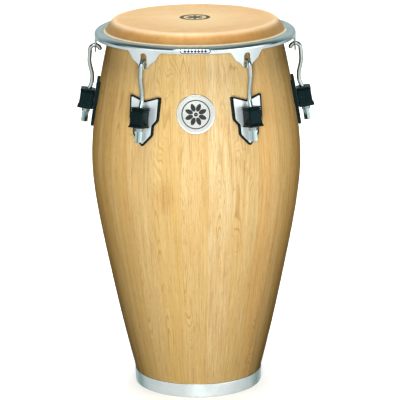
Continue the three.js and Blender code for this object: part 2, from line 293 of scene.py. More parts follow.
class Nodes:
    """Short calls for the nodes of one material or world."""

    def __init__(self, owner):
        owner.use_nodes = True
        self.owner = owner
        self.tree = owner.node_tree

    def node(self, kind, inputs=(), **settings):
        made = self.tree.nodes.new(kind)
        for key, value in settings.items():
            setattr(made, key, value)
        for key, value in dict(inputs).items():
            self.feed(made.inputs[key], value)
        return made

    def feed(self, socket, value):
        if isinstance(value, bpy.types.NodeSocket):
            self.tree.links.new(value, socket)
        else:
            socket.default_value = value

    def math(self, operation, *values):
        return self.node("ShaderNodeMath", dict(enumerate(values)), operation=operation).outputs[0]

    def times(self, a, b):
        return self.math("MULTIPLY", a, b)

    def plus(self, a, b):
        return self.math("ADD", a, b)

    def minus(self, a, b):
        return self.math("SUBTRACT", a, b)

    def over(self, a, b):
        return self.math("DIVIDE", a, b)

    def away(self, x, y):
        """The distance of (x, y) from the origin."""
        return self.math("SQRT", self.plus(self.math("POWER", x, 2.0), self.math("POWER", y, 2.0)))

    def split(self, vector):
        return self.node("ShaderNodeSeparateXYZ", {0: vector}).outputs

    def xyz(self, x=0.0, y=0.0, z=0.0):
        return self.node("ShaderNodeCombineXYZ", {0: x, 1: y, 2: z}).outputs[0]

    def scaled(self, vector, x, y, z):
        node = self.node("ShaderNodeVectorMath", {0: vector, 1: (x, y, z)}, operation="MULTIPLY")
        return node.outputs[0]

    def noise(self, vector, scale=1.0, detail=2.0, rough=0.5, distortion=0.0):
        inputs = {"Vector": vector, "Scale": scale, "Detail": detail, "Roughness": rough}
        inputs["Distortion"] = distortion
        return self.node("ShaderNodeTexNoise", inputs).outputs[0]

    def noise_1d(self, value, detail, rough=0.5):
        inputs = {"W": value, "Detail": detail, "Roughness": rough}
        return self.node("ShaderNodeTexNoise", inputs, noise_dimensions="1D").outputs[0]

    def span(self, value, low, high, new_low=0.0, new_high=1.0):
        """The value mapped from low..high to new_low..new_high, held at both ends."""
        inputs = {0: value, 1: low, 2: high, 3: new_low, 4: new_high}
        return self.node("ShaderNodeMapRange", inputs, clamp=True).outputs[0]

    def mix(self, factor, a, b, blend="MIX"):
        node = self.node("ShaderNodeMix", data_type="RGBA", blend_type=blend)
        self.feed(node.inputs[0], factor)
        self.feed(node.inputs[6], a)
        self.feed(node.inputs[7], b)
        return node.outputs[2]

    def bump(self, height, distance, strength=1.0, after=None):
        inputs = {"Height": height, "Distance": distance, "Strength": strength}
        if after is not None:
            inputs["Normal"] = after
        return self.node("ShaderNodeBump", inputs).outputs[0]


class Shader(Nodes):
    """A material's nodes, round its Principled BSDF."""

    def __init__(self, name):
        super().__init__(bpy.data.materials.new(name))
        self.place = self.node("ShaderNodeTexCoord").outputs["Object"]

    def finish(self, **inputs):
        surface = self.tree.nodes["Principled BSDF"]
        for key, value in inputs.items():
            self.feed(surface.inputs[key.replace("_", " ")], value)
        return self.owner


def rgb(r, g, b):
    return (r, g, b, 1.0)


# One tone for each stave, starting right of the badge and going round towards +X
# painted shade: the dark d tone sits on the two staves at each side edge seen from the front, where the
# sides turn away from the light
STAVE_TONES = "chptddtchgphtchgpcddthgh"
TONES = {
    "c": (0.67, 0.56, 0.35),
    "h": (0.64, 0.50, 0.26),
    "g": (0.62, 0.465, 0.195),
    "p": (0.68, 0.47, 0.21),
    "t": (0.575, 0.42, 0.175),
    "d": (0.50, 0.345, 0.110),
}


def wood_material(name, lacquer):
    """Staves of pale wood, each with its own tone and figure, lacquered or raw. Some of the tone is
    painted light and shade: dark staves at the side edges, darker towards the bottom, paler towards the
    top.
    """
    stave_width, shell_at_knot = 0.048, 0.190
    s = Shader(name)
    x, y, z = s.split(s.place)
    turn = s.math("ARCTAN2", x, s.times(y, -1.0))
    count = s.times(s.minus(turn, math.radians(STAVE_PHASE)), STAVES / math.tau)
    stave = s.math("FLOOR", count)
    across = s.minus(s.minus(count, stave), 0.5)
    dice = s.node("ShaderNodeTexWhiteNoise", {"W": stave}, noise_dimensions="1D")
    draws = s.node("ShaderNodeSeparateColor", {0: dice.outputs["Color"]}).outputs
    u = s.times(across, stave_width)
    home = s.xyz(s.times(draws[0], 17.0), s.times(draws[1], 23.0), stave)

    def plank(scale_u, scale_z):
        spot = s.xyz(s.times(u, scale_u), 0.0, s.times(z, scale_z))
        return s.node("ShaderNodeVectorMath", {0: spot, 1: home}, operation="ADD").outputs[0]

    # growth rings of a flat-sawn board: distance from a pith line that runs off at a slant
    wander = s.span(s.noise(plank(14.0, 3.2), 1.0, 2.0), 0.2, 0.8, -0.016, 0.016)
    off_side = s.times(s.minus(draws[0], 0.5), 0.05)
    side = s.plus(s.minus(u, off_side), wander)
    slant = s.times(s.minus(z, s.times(draws[2], 0.7)), 0.055)
    depth = s.plus(s.plus(slant, 0.012), s.times(wander, 0.8))
    reach = s.away(side, depth)
    rings = s.span(s.noise_1d(s.times(reach, 190.0), 3.0, 0.6), 0.48, 0.72)

    # a small knot: rings that wobble and fade outwards
    knot_u = s.times(s.minus(turn, KNOT_ANGLE), shell_at_knot)
    knot_v = s.minus(z, KNOT_HEIGHT)
    swirl = s.noise(s.place, 30.0, 2.0, 0.5)
    knot_u = s.over(s.plus(knot_u, s.times(swirl, 0.012)), 0.0095)
    knot = s.away(knot_u, s.over(knot_v, 0.013))
    knot_rings = s.noise_1d(s.times(knot, 4.6), 0.0)
    knot_ink = s.times(s.span(knot_rings, 0.44, 0.56), s.span(knot, 3.0, 1.0))

    bands = s.noise(plank(80.0, 3.4), 1.0, 3.0, 0.5)
    streak = s.noise(plank(420.0, 6.0), 1.0, 4.0, 0.6)
    hairs = s.span(s.noise(plank(760.0, 11.0), 1.0, 2.0, 0.5), 0.58, 0.68)
    flecks = s.span(s.noise(plank(900.0, 38.0), 1.0, 3.0, 0.6), 0.56, 0.66)
    amber = s.span(s.noise(plank(26.0, 4.2), 1.0, 4.0, 0.62, 0.8), 0.49, 0.62)
    clouds = s.noise(plank(40.0, 9.0), 1.0, 4.0, 0.6)
    fibre = s.noise(plank(2600.0, 34.0), 1.0, 2.0, 0.6)
    pores = s.span(s.noise(plank(1900.0, 110.0), 1.0, 1.0, 0.4), 0.66, 0.74)

    # the stave's tone, with painted shade on the dark edge staves, and the figure laid over it
    turned = s.math("FRACT", s.over(s.plus(stave, 0.5), STAVES))
    tones = s.node("ShaderNodeValToRGB", {0: turned})
    ramp = tones.color_ramp
    ramp.interpolation = "CONSTANT"
    while len(ramp.elements) < STAVES:
        ramp.elements.new(0.99)
    for i, (element, tone) in enumerate(zip(ramp.elements, STAVE_TONES)):
        element.position = i / STAVES
        element.color = rgb(*TONES[tone])
    tone = tones.outputs[0]
    tone = s.mix(s.times(amber, 0.50), tone, rgb(0.62, 0.42, 0.17))
    tone = s.mix(s.span(clouds, 0.40, 0.68, 0.0, 0.36), tone, rgb(0.55, 0.37, 0.18))
    tone = s.mix(s.span(bands, 0.35, 0.72, 0.0, 0.55), tone, rgb(0.71, 0.61, 0.38))
    # painted shade: towards the bottom the wood is darkened in green and blue, where less light falls on
    # it
    lower = s.span(z, 0.42, 0.04)
    tone = s.mix(lower, tone, s.mix(1.0, tone, rgb(1.0, 0.95, 0.80), "MULTIPLY"))
    # painted light: towards the top the wood is tinted a little paler, less red and more green and blue,
    # to stand in for how the top is lit
    upper = s.span(z, 0.56, 0.68)
    tone = s.mix(upper, tone, s.mix(1.0, tone, rgb(0.97, 1.01, 1.05), "MULTIPLY"))
    tone = s.mix(s.times(rings, 0.64), tone, rgb(0.43, 0.27, 0.11))
    tone = s.mix(s.span(streak, 0.45, 0.75, 0.0, 0.40), tone, rgb(0.44, 0.27, 0.11))
    tone = s.mix(s.times(hairs, 0.42), tone, rgb(0.34, 0.20, 0.08))
    tone = s.mix(s.times(flecks, 0.46), tone, rgb(0.34, 0.20, 0.07))
    tone = s.mix(s.times(knot_ink, 0.62), tone, rgb(0.42, 0.22, 0.07))
    tone = s.mix(s.span(fibre, 0.35, 0.75, 0.0, 0.20), tone, rgb(0.45, 0.24, 0.08))
    tone = s.mix(s.times(pores, 0.45), tone, rgb(0.30, 0.155, 0.055))
    edge = s.span(s.math("ABSOLUTE", across), 0.488, 0.5)
    tone = s.mix(s.times(edge, 0.35), tone, rgb(0.38, 0.21, 0.075))

    grain = s.plus(s.times(pores, -1.0), s.times(fibre, 0.5))
    relief = s.bump(grain, 0.00008, 0.5)
    worn = s.noise(s.place, 26.0, 3.0, 0.6)
    if lacquer:
        return s.finish(
            Base_Color=tone,
            Roughness=s.span(worn, 0.3, 0.7, 0.50, 0.60),
            Specular_IOR_Level=0.0,
            Normal=relief,
            Coat_Weight=0.03,
            Coat_Roughness=s.span(worn, 0.3, 0.7, 0.08, 0.14),
        )
    raw = s.mix(0.35, tone, rgb(0.50, 0.36, 0.20))
    return s.finish(Base_Color=raw, Roughness=0.8, Normal=relief)


def hide_material(name):
    """Rawhide: blotched, with a painted highlight along the shoulder, a collar darkened partly by its own
    tone and partly by painted shade, and the print.
    """
    s = Shader(name)
    x, y, z = s.split(s.place)
    blotch = s.noise(s.place, 11.0, 4.0, 0.6, 0.6)
    mottle = s.noise(s.place, 70.0, 4.0, 0.65)
    speck = s.noise(s.place, 420.0, 3.0, 0.6)
    brushed = s.noise(s.scaled(s.place, 9.0, 60.0, 9.0), 1.0, 4.0, 0.6)
    cells = {"Vector": s.place, "Scale": 26.0}
    veins = s.node("ShaderNodeTexVoronoi", cells, feature="DISTANCE_TO_EDGE").outputs[0]
    tone = s.mix(s.span(blotch, 0.3, 0.7), rgb(0.635, 0.435, 0.222), rgb(0.565, 0.350, 0.160))
    tone = s.mix(s.span(mottle, 0.4, 0.75, 0.0, 0.50), tone, rgb(0.78, 0.56, 0.31))
    tone = s.mix(s.span(speck, 0.55, 0.8, 0.0, 0.35), tone, rgb(0.55, 0.33, 0.14))
    tone = s.mix(s.span(veins, 0.0, 0.05, 0.16, 0.0), tone, rgb(0.58, 0.34, 0.14))
    tone = s.mix(s.span(brushed, 0.44, 0.66, 0.0, 0.32), tone, rgb(0.54, 0.335, 0.150))
    radius = s.away(x, y)
    # painted sheen: the middle of the head is mixed paler, standing in for the glare on its top
    tone = s.mix(s.span(radius, 0.125, 0.02, 0.0, 0.55), tone, rgb(0.73, 0.58, 0.35))
    # painted highlight: a pale band along the shoulder, where the light catches its rounding
    worn = s.times(s.span(radius, 0.1440, 0.1520), s.span(z, 0.7045, 0.7085))
    tone = s.mix(s.times(worn, 0.34), tone, rgb(0.86, 0.72, 0.52))
    # partly the hide's own darker collar and partly painted shade: the collar is multiplied darker and
    # more orange where it tilts up into the light
    collar = s.span(z, 0.7085, 0.7015)
    tone = s.mix(collar, tone, s.mix(1.0, tone, rgb(0.77, 0.68, 0.50), "MULTIPLY"))
    low = s.span(z, 0.6926, 0.6908)
    tone = s.mix(s.times(low, 0.9), tone, rgb(0.92, 0.83, 0.62))

    # a printed ring with a plain rosette of eight petals, a little behind the middle of the head
    behind = s.minus(y, PRINT_OFF)
    turn = s.math("ARCTAN2", x, behind)
    away = s.away(x, behind)
    petals = s.math("ABSOLUTE", s.math("COSINE", s.times(turn, 4.0)))
    reach = s.plus(s.times(petals, 0.012), 0.007)
    flower = s.span(s.minus(away, reach), -0.0003, 0.0003, 1.0, 0.0)
    outer = s.span(away, 0.0288, 0.0292, 1.0, 0.0)
    inner = s.span(away, 0.0214, 0.0218)
    band = s.times(outer, inner)
    ink = s.math("MAXIMUM", band, flower)
    ink = s.times(ink, s.span(z, 0.70, 0.705))
    ink = s.times(ink, s.span(mottle, 0.2, 0.6, 1.0, 0.92))
    tone = s.mix(ink, tone, rgb(0.018, 0.030, 0.016))

    relief = s.bump(mottle, 0.0004, 0.35)
    relief = s.bump(speck, 0.00015, 0.4, relief)
    return s.finish(
        Base_Color=tone,
        Roughness=s.span(mottle, 0.3, 0.7, 0.40, 0.55),
        Normal=relief,
        Coat_Weight=0.12,
        Coat_Roughness=0.28,
    )


def metal_material(
    name, color, low, high, brushed=0.0, along=(1.0, 1.0, 1.0), relief=0.00004, metallic=1.0
):
    """Bare or plated metal of a roughness between low and high, with smudges, and with brush
    lines where asked for."""
    s = Shader(name)
    smudge = s.noise(s.place, 22.0, 4.0, 0.65)
    fine = s.noise(s.scaled(s.place, *along), 1.0, 3.0, 0.6)
    rough = s.span(smudge, 0.3, 0.75, low, high)
    if brushed:
        rough = s.plus(rough, s.times(s.minus(fine, 0.5), brushed))
    dull = tuple(c * 0.86 for c in color)
    tone = s.mix(s.span(smudge, 0.45, 0.8), rgb(*color), rgb(*dull))
    normal = s.bump(fine if brushed else s.noise(s.place, 90.0, 2.0), relief, 0.4)
    return s.finish(Base_Color=tone, Metallic=metallic, Roughness=rough, Normal=normal)


def rubber_material(name):
    s = Shader(name)
    dust = s.noise(s.place, 160.0, 4.0, 0.7)
    grain = s.noise(s.place, 1500.0, 2.0, 0.5)
    tone = s.mix(s.span(dust, 0.45, 0.8, 0.0, 0.5), rgb(0.003, 0.007, 0.008), rgb(0.009, 0.015, 0.016))
    return s.finish(
        Base_Color=tone,
        Roughness=s.span(dust, 0.3, 0.7, 0.20, 0.32),
        Normal=s.bump(grain, 0.00006, 0.5),
        Specular_IOR_Level=0.24,
        Specular_Tint=rgb(0.45, 0.95, 1.0),
    )


def enamel_material(name):
    s = Shader(name)
    dust = s.noise(s.place, 300.0, 3.0, 0.6)
    tone = s.mix(s.span(dust, 0.4, 0.8), rgb(0.010, 0.011, 0.012), rgb(0.022, 0.024, 0.024))
    return s.finish(Base_Color=tone, Roughness=s.span(dust, 0.3, 0.7, 0.22, 0.34), Coat_Weight=0.3)


LACQUERED = wood_material("lacquered_staves", True)
RAW_WOOD = wood_material("raw_staves", False)
HIDE = hide_material("rawhide")
CHROME = metal_material("chrome", (0.78, 0.81, 0.82), 0.07, 0.16)
RING_STEEL = metal_material(
    "ring_steel", (0.76, 0.78, 0.775), 0.20, 0.30, brushed=0.10, along=(8.0, 8.0, 900.0)
)
PLATE_STEEL = metal_material("plate_steel", (0.75, 0.80, 0.83), 0.30, 0.42, metallic=0.60)
# painted shade: the nuts get a darker chrome than the rim, standing in for the shade and dark reflections
# under the covers
NUT_CHROME_PAINTED_SHADE = metal_material("nut_chrome_painted_shade", (0.40, 0.48, 0.48), 0.05, 0.12)
# painted shade: the hooks get a darker chrome than the rim, standing in for their darker reflections
HOOK_CHROME_PAINTED_SHADE = metal_material("hook_chrome_painted_shade", (0.50, 0.54, 0.53), 0.06, 0.14)
ZINC = metal_material("zinc", (0.60, 0.61, 0.60), 0.28, 0.42)
BRUSHED = metal_material(
    "brushed_aluminium",
    (0.67, 0.66, 0.635),
    0.24,
    0.34,
    brushed=0.25,
    along=(900.0, 8.0, 20.0),
    relief=0.00003,
)
RUBBER = rubber_material("black_rubber")
ENAMEL = enamel_material("black_enamel")


# ---- Shell -----------------------------------------------------------------------------

HEIGHT = 711.2
FLAT_RADIUS = 150.5
SHOULDER = 8.7
SKIN = 2.2
SHELL_TOP = 693
SHELL_ROWS = 78


def stave_angles():
    """Columns round the shell, close together at every joint, and which ones are joints."""
    pitch = 360 / STAVES
    middle = np.linspace(0.55, pitch - 0.55, 9)
    angles, marks = [], []
    for stave in range(STAVES):
        start = STAVE_PHASE + stave * pitch
        for step in (0.0, 0.085, 0.22, *middle, pitch - 0.22, pitch - 0.085):
            angles.append(math.radians(start + step))
            marks.append(step == 0.0)
    return angles, marks


def make_shell():
    """The staves' wall: lacquered outside, raw inside, with a turned bearing edge."""
    angles, marks = stave_angles()
    bottom = 2.1
    outside = [(119.1, bottom + 0.6), (119.4, bottom + 8), (120.0, 26.9)]
    outside += [(shell_radius(z), z) for z in np.linspace(27.2, SHELL_TOP, SHELL_ROWS)]
    centre = (FLAT_RADIUS, HEIGHT - SHOULDER - 0.2)
    edge = arc(centre, 6.2, 4, 90, 8)
    inside = [(147.6, 708.5), (146.2, 707.6), (145.6, 706)]
    inside += [(shell_radius(z) - WALL, z) for z in np.linspace(690, 30, 40)]
    inside += [(108.0, 2.9), (108.8, bottom), (118.4, bottom)]
    section = outside + edge + inside
    rings = []
    for k, (radius, height) in enumerate(section):
        grooved = len(outside) - SHELL_ROWS <= k < len(outside)
        ring = []
        for angle, mark in zip(angles, marks):
            r = radius - JOINT_DEPTH if mark and grooved else radius
            ring.append((r * math.sin(angle), -r * math.cos(angle), height))
        rings.append(ring)
    faces = bridge(rings, True)
    size = len(angles)
    first_raw = (len(outside) + len(edge)) * size
    tags = [1 if i >= first_raw else 0 for i in range(len(faces))]
    shell = build("shell_staves", flat(rings), faces, [LACQUERED, RAW_WOOD], 40, tags=tags)
    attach(shell, "shell")
    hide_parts("shell")


def make_bottom_ring():
    section = [
        (110.5, 0.9),
        (111.0, 0.25),
        (111.8, 0.0),
        (119.6, 0.0),
        *arc((119.9, 1.7), 1.7, -85, -5, 6),
        (121.9, 9.0),
        (122.3, 20.0),
        *arc((121.9, 26.0), 0.6, 0, 90, 4),
        (121.1, 26.6),
        (120.5, 26.2),
        (120.3, 20.0),
        (119.6, 2.4),
        (119.2, 1.8),
        (111.4, 1.8),
        (110.6, 1.5),
    ]
    ring = lathe("bottom_ring_steel", section, [RING_STEEL])
    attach(ring, "shell")
    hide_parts("bottom_ring")


# ---- Head and rim ----------------------------------------------------------------------


def make_head():
    """One skin: the playing surface, the rounded shoulder, the flared collar and the roll round the flesh
    hoop."""
    centre = (FLAT_RADIUS, HEIGHT - SHOULDER)
    top = [(r, HEIGHT) for r in (6, 14, 30, 60, 90, 115, 135, 146)]
    shoulder = arc(centre, SHOULDER, 90, 34, 9)
    flare = [shoulder[-1], (161.0, 702.8), (164.0, 698.7), (166.9, 694.6), (168.9, 691.6)]
    collar = [tuple(p) for p in catmull(flare, 4)[1:]]
    roll = [
        (170.1, 690.2),
        (170.9, 688.4),
        (172.2, 687.4),
        (175.5, 687.1),
        *arc((177.2, 684.4), 2.8, 85, -10, 6),
        (180.0, 680.6),
        *arc((177.4, 680.2), 2.6, -10, -90, 5),
        (173.0, 677.6),
        (169.8, 678.0),
        (167.8, 679.4),
        (166.9, 682.0),
        (166.8, 686.0),
        (166.4, 689.2),
        (165.2, 691.3),
    ]
    back = [(165.0, 691.4), (162.0, 694.6), (158.8, 698.6), (157.0, 702.5)]
    under = [tuple(p) for p in catmull(back, 3)[1:]]
    lower = arc(centre, SHOULDER - SKIN, 0, 90, 8)[1:]
    bottom = [(r, HEIGHT - SKIN) for r in (146, 115, 60, 20)]
    section = [*top, *shoulder, *collar, *roll, *under, *lower, *bottom]
    angles = turn_angles(ROUND_STEPS)
    rings = [ring_points(r, z, angles) for r, z in section]
    verts = flat(rings)
    faces = bridge(rings, False)
    size = len(angles)
    for height, start in ((HEIGHT, 0), (HEIGHT - SKIN, (len(rings) - 1) * size)):
        hub = len(verts)
        verts.append((0.0, 0.0, height))
        faces += [(hub, start + k, start + (k + 1) % size) for k in range(size)]
    head = build("rawhide_head", verts, faces, [HIDE], 60)
    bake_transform(head)
    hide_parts("head_skin", "flesh_hoop")


RIM_OUTER = 189.8
RIM_BAND = 2.6
RIM_LOW = 678.5
RIM_ROLL = 8.0
RIM_CROWN = (RIM_OUTER - RIM_ROLL, 683.6)

# An ear's lower edge: (distance from its middle along the rim, height), up to EAR_HALF
EAR_HALF = 42
EAR_OUTLINE = (
    (0, 647.4),
    (3.2, 647.6),
    (6.2, 648.9),
    (9.5, 651.9),
    (13.5, 656.4),
    (18.0, 659.7),
    (22.5, 663.0),
    (26.5, 667.8),
    (29.6, 672.8),
    (32.4, 676.7),
    (36.5, 678.4),
    (EAR_HALF, RIM_LOW),
)


def rim_columns():
    """(angle, lowest height) round the rim, close together at the ears."""
    ear_low = cubic_spline(EAR_OUTLINE)
    columns = []
    for centre in range(0, 360, 60):
        steps = [*np.arange(-17, -12.6, 1.5), *np.arange(-12.5, 12.51, 0.25), *np.arange(14, 43, 1.45)]
        for step in steps:
            across = abs(math.radians(step)) * RIM_OUTER
            low = min(ear_low(across), RIM_LOW) if across < EAR_HALF else RIM_LOW
            columns.append((math.radians(LUG_ANGLES[0] + centre + step), low))
    return columns


def ear_hole_cutter(angle):
    """A slot through an ear, flared at both mouths so that its edges come out eased."""
    half, low, high = 6.2, 656.7, 676.5
    outline = [Vector(p) for p in ((-half, low + 2), (-half + 0.6, low + 0.6), (-half + 2, low))]
    outline += [Vector((-x, y)) for x, y in reversed(outline)]
    outline += [Vector(p) for p in arc((0, high - half), half, 0, 180, 14)]
    mouths = ((183.0, -3.0), (RIM_OUTER - RIM_BAND + 0.1, -0.5), (RIM_OUTER - RIM_BAND + 0.6, 0.0))
    mouths += ((RIM_OUTER - 0.6, 0.0), (RIM_OUTER - 0.1, -0.5), (194.0, -3.0))
    rings = []
    for radius, grow in mouths:
        loop = inset(outline, grow)
        rings.append([(p.x, -math.sqrt(radius**2 - p.x**2), p.y) for p in loop])
    cutter = build("slot_cutter", flat(rings), bridge(rings, False) + end_caps(rings), [CHROME])
    cutter.rotation_euler.z = angle
    return cutter


def make_rim():
    """A band with six slotted ears, rolled over at the top and turned in to the skin."""
    wall = RIM_OUTER - RIM_BAND
    columns = rim_columns()
    rings = []

    def rows(low):
        deep = np.linspace(684.5, low + 1.3, 12)
        yield from [(RIM_OUTER, z) for z in np.linspace(683.4, low + 1.3, 12)]
        yield from arc((RIM_OUTER - 1.3, low + 1.3), 1.3, -20, -160, 6)
        yield from [(wall, z) for z in reversed(deep)]

    head = [
        (wall - 0.3, 686.0),
        (wall - 1.4, 687.1),
        (wall - 3.2, 687.6),
        (180.0, 687.6),
        (173.2, 687.6),
        *arc((173.1, 689.1), 1.5, -100, -240, 7),
        *arc((180.8, 681.4), 10.2, 128, 98, 5),
        *arc(RIM_CROWN, RIM_ROLL, 88, 2, 14),
    ]
    for angle, low in columns:
        section = [*rows(low), *head]
        rings.append([(r * math.sin(angle), -r * math.cos(angle), z) for r, z in section])
    rim = build("rim_chrome", flat(rings), bridge(rings, True), [CHROME], 50)
    for lug in LUG_ANGLES:
        cutter = ear_hole_cutter(math.radians(lug))
        cut = rim.modifiers.new("slot", "BOOLEAN")
        cut.object = cutter
        cut.solver = "EXACT"
        bpy.context.view_layer.objects.active = rim
        bpy.ops.object.modifier_apply(modifier=cut.name)
        bpy.data.objects.remove(cutter)
    rim.data.set_sharp_from_angle(angle=math.radians(38))
    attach(rim, "rim")
    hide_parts("rim")


# ---- Badge and rim mark ----------------------------------------------------------------

BADGE_HEIGHT = 567
BADGE_STEPS = 96
BADGE_FACE = 1.45
BADGE_BACK = 0.3


def on_shell(across, height, lift):
    """A point at the front of the shell, lifted off it."""
    reach = shell_radius(height) + lift
    return (across, -math.sqrt(reach**2 - across**2), height)


def badge_point(r, a, lift):
    """A point of the badge, by its distance and angle from the middle."""
    return on_shell(r * math.sin(a), BADGE_HEIGHT + r * math.cos(a), lift)


def make_badge():
    section = [(r, BADGE_FACE) for r in (4, 8, 12, 16, 20, 24, 28, 31, 33)]
    section += [(33.6, 1.5), (34.2, 1.75), (34.8, 1.8), (35.5, 1.65), (35.9, 1.2), (36.0, 0.7)]
    section += [(r, BADGE_BACK) for r in (35.8, 30, 20, 10)]
    rings = [[badge_point(r, a, lift) for a in turn_angles(BADGE_STEPS)] for r, lift in section]
    verts = flat(rings)
    faces = bridge(rings, False)
    for lift, start in ((BADGE_FACE, 0), (BADGE_BACK, (len(rings) - 1) * BADGE_STEPS)):
        hub = len(verts)
        verts.append(on_shell(0, BADGE_HEIGHT, lift))
        faces += [(hub, start + k, start + (k + 1) % BADGE_STEPS) for k in range(BADGE_STEPS)]
    badge = build("badge_disc", verts, faces, [BRUSHED], 40)
    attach(badge, "shell")
    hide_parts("badge")


def patch(verts, faces, rows, place, low, high):
    """A thin closed plate from a grid of (a, b) rows, laid on a surface by place(a, b, lift)."""
    start = len(verts)
    count, width = len(rows), len(rows[0])
    for lift in (low, high):
        verts += [place(a, b, lift) for row in rows for a, b in row]
    shift = count * width
    for i in range(count - 1):
        for k in range(width - 1):
            a = start + i * width + k
            quad = (a, a + 1, a + width + 1, a + width)
            faces.append(quad)
            faces.append(tuple(v + shift for v in reversed(quad)))
    border = list(range(width))
    border += [i * width + width - 1 for i in range(1, count)]
    border += [(count - 1) * width + k for k in range(width - 2, -1, -1)]
    border += [i * width for i in range(count - 2, 0, -1)]
    for a, b in zip(border, border[1:] + border[:1]):
        faces.append((start + a, start + b, start + b + shift, start + a + shift))


def make_badge_emblem():
    """Eight enamel petals round a dot, inside a thin ring."""
    verts, faces = [], []
    low, high = 1.3, 1.65
    for petal in range(8):
        middle = math.radians(45 * petal + 22.5)
        rows = []
        for r in np.linspace(6.0, 20.5, 15):
            half = 4.3 * math.sin(math.pi * (r - 5.2) / 16.1) ** 0.75 / r
            rows.append([(r, middle + half * t) for t in (-1, -0.5, 0, 0.5, 1)])
        patch(verts, faces, rows, badge_point, low, high)
    for r0, r1, steps in ((24.6, 26.4, 96), (0.6, 3.6, 32)):
        rings = []
        for r, lift in ((r0, low), (r1, low), (r1, high), (r0, high)):
            rings.append([badge_point(r, a, lift) for a in turn_angles(steps)])
        faces += bridge(rings, True, len(verts))
        verts += flat(rings)
    emblem = build("badge_emblem", verts, faces, [ENAMEL], 40)
    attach(emblem, "shell")


def make_rim_mark():
    """A plain enamel lozenge row in a long oval on the front of the rim."""
    path = [(RIM_OUTER, z) for z in np.linspace(678.9, 683.5, 9)]
    path += arc(RIM_CROWN, RIM_ROLL, 2, 76, 30)
    lengths = [0.0]
    for a, b in zip(path, path[1:]):
        lengths.append(lengths[-1] + math.dist(a, b))

    def place(across, up, lift):
        """A point lifted off the rim, by its distances along the rim and up its face."""
        at = float(np.interp(up, lengths, range(len(path))))
        i = min(int(at), len(path) - 2)
        (r0, z0), (r1, z1) = path[i], path[i + 1]
        t = at - i
        step = math.dist(path[i], path[i + 1])
        out = ((z1 - z0) / step, -(r1 - r0) / step)
        radius = r0 + (r1 - r0) * t + out[0] * lift
        height = z0 + (z1 - z0) * t + out[1] * lift
        angle = across / RIM_OUTER
        return (radius * math.sin(angle), -radius * math.cos(angle), height)

    verts, faces = [], []
    low, high = -0.1, 0.12
    middle, half_high, half_long = 5.9, 4.7, 28.0
    border = 1.25
    loops = []
    for grow in (0.0, -border):
        loop = []
        for side, start in ((1, -90), (-1, 90)):
            for x, y in arc((0, 0), half_high + grow, start, start + 180, 12):
                loop.append((x + side * (half_long - half_high), y + middle))
        dense = []
        for a, b in zip(loop, loop[1:] + loop[:1]):
            pieces = 1 if math.dist(a, b) < 3 else 20
            for k in range(pieces):
                dense.append((a[0] + (b[0] - a[0]) * k / pieces, a[1] + (b[1] - a[1]) * k / pieces))
        loops.append(dense)
    rings = []
    for loop, lift in ((0, low), (1, low), (1, high), (0, high)):
        rings.append([place(x, y, lift) for x, y in loops[loop]])
    faces += bridge(rings, True)
    verts += flat(rings)
    pitch, half_wide, half_tall, blunt = 6.2, 2.9, 3.1, 0.15
    for spot in range(-3, 4):
        rows = []
        for t in np.linspace(-1, 1, 9):
            half = half_wide * (1 - abs(t)) + blunt
            rows.append([(spot * pitch + half * k, middle + half_tall * t) for k in (-1, 0, 1)])
        patch(verts, faces, rows, place, low, high)
    mark = build("rim_mark", verts, faces, [ENAMEL], 40)
    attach(mark, "rim")


# ---- Lugs ------------------------------------------------------------------------------

# Right halves of the flat outlines, (across, up)
PLATE_OUTLINE = ((0, 25.5), (28.5, 35), (27, -5), (17.5, -15.5), (17.5, -33), (0, -52))
GASKET_OUTLINE = ((0, 28.4), (31.4, 38.2), (30, -6.1), (20.5, -16.6), (20.5, -34.2), (0, -56.4))


def loops_at(outline, levels):
    """Rings of a flat outline at (inset, distance out of the lug plane)."""
    return [[lug_point(p.x, out, p.y) for p in inset(outline, shrink)] for shrink, out in levels]


def make_plate():
    """The side plate, with its receiver tube and the web between them."""
    outline = eased(mirrored(PLATE_OUTLINE), 3.2)
    levels = ((0.3, -2.5), (0.0, -2.2), (0.0, -0.9), (0.12, -0.45), (0.45, -0.12), (0.9, 0.0))
    rings = loops_at(outline, levels)
    verts, faces = flat(rings), bridge(rings, False) + end_caps(rings)
    tube = [(7.1, 13.5), (7.5, 13.1), (7.5, -21.2), (7.1, -21.6)]
    tube += [(5.3, -21.6), (5.0, -21.3), (5.0, 13.5)]
    tube = lug_rings(tube, segments=32)
    faces += bridge(tube, True, len(verts))
    verts += flat(tube)
    block = ((-4, -0.4), (4, -0.4), (4, 7.5), (-4, 7.5))
    web = [[lug_point(across, out, up) for across, out in block] for up in (-20, 12.5)]
    start = len(verts)
    faces += bridge(web, False, start)
    faces += [tuple(start + k for k in cap) for cap in end_caps(web)]
    verts += flat(web)
    return build("side_plate_chrome", verts, faces, [PLATE_STEEL], 40, weighted=True)


def shell_depth(across, up, gap):
    """How far out of the lug plane a point lies that is the gap away from the shell."""
    low, high = -20.0, 0.0
    for _ in range(40):
        middle = (low + high) / 2
        x, y, z = lug_point(across, middle, up)
        if math.hypot(x, y) > shell_radius(z) + gap:
            high = middle
        else:
            low = middle
    return high


